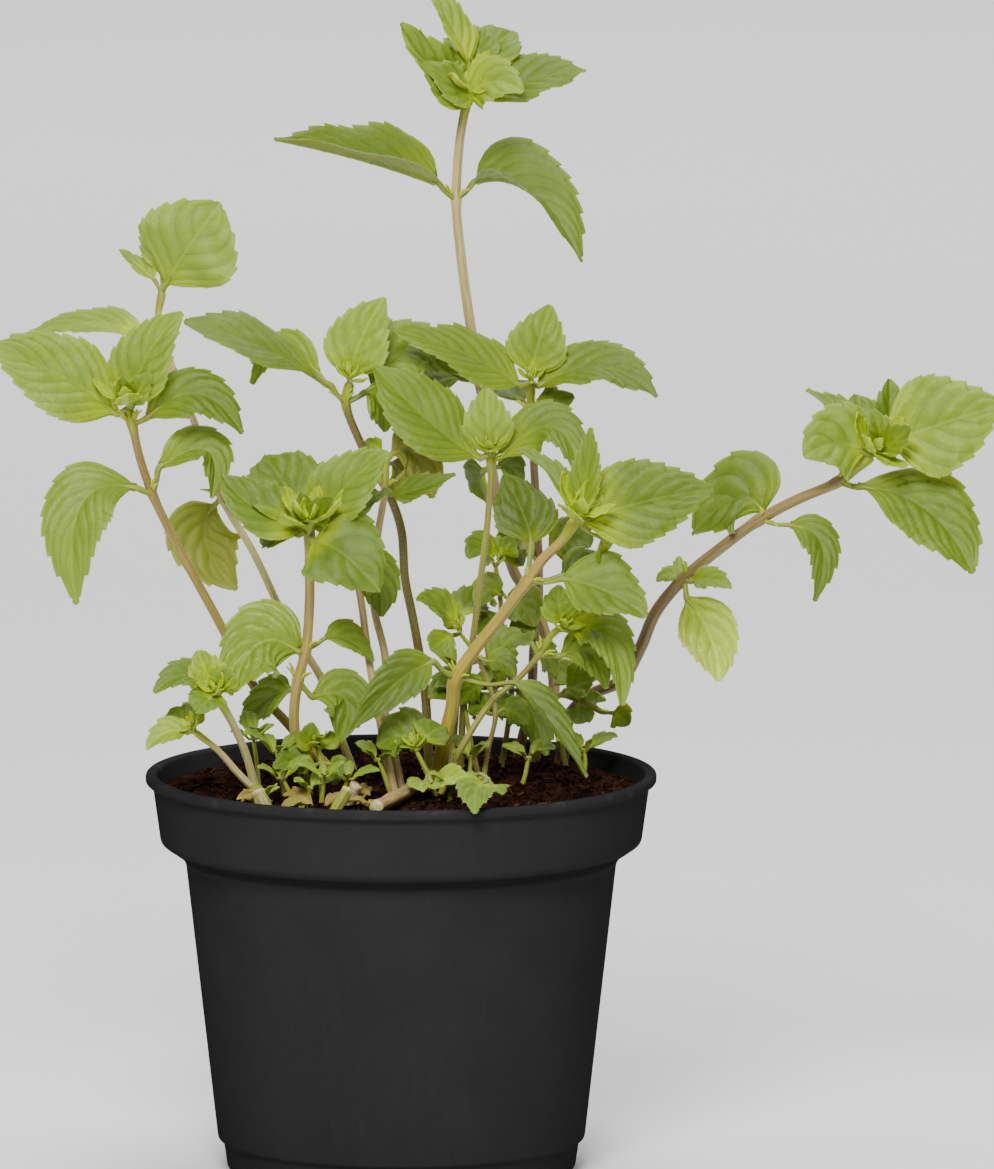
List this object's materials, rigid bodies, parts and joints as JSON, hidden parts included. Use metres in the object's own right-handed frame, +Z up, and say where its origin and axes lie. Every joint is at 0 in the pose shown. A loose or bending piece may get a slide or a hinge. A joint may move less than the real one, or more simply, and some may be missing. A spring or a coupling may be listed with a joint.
{
  "type": "potted mint plant",
  "caption": "Leafy mint shoots standing in soil in a round black nursery pot with a wide rim band and lip.",
  "frame": {"origin": "centre of the pot's flat underside, on the pot's axis", "axes": "+Z up along the pot's axis; +X to the right as seen from the front; the front of the plant looks towards -Y"},
  "size_m": [0.2582, 0.1322, 0.3042],
  "materials": {
    "pot_plastic": "satin black",
    "soil": "moist fibrous peat",
    "mint_leaf_and_stem": "matt, finely hairy leaf green",
    "old_stem": "matt, dry beige stem"
  },
  "bodies": {
    "root": {"pot": "pot_plastic", "soil": "soil", "shoot_tall": "mint_leaf_and_stem", "shoot_upright_back": "mint_leaf_and_stem", "shoot_middle": "mint_leaf_and_stem", "shoot_front": "mint_leaf_and_stem", "shoot_arching": "mint_leaf_and_stem", "shoot_left_of_middle": "mint_leaf_and_stem", "shoot_brown_leaved": "mint_leaf_and_stem", "shoot_behind_left": "mint_leaf_and_stem", "shoot_left_front": "mint_leaf_and_stem", "shoot_far_left": "mint_leaf_and_stem", "shoot_round_leaf": "mint_leaf_and_stem", "shoot_low_left": "mint_leaf_and_stem", "shoot_lowest_left": "mint_leaf_and_stem", "shoot_small_right": "mint_leaf_and_stem", "sprig_back_right": "mint_leaf_and_stem", "sprig_middle": "mint_leaf_and_stem", "sprig_behind_middle": "mint_leaf_and_stem", "sprig_front": "mint_leaf_and_stem", "sprig_over_rim": "mint_leaf_and_stem", "sprig_low_middle_left": "mint_leaf_and_stem", "old_stem_lying": "old_stem", "cut_stub_front": "old_stem", "cut_stub_middle": "old_stem", "cut_stub_left": "old_stem"}
  },
  "joints": []
}
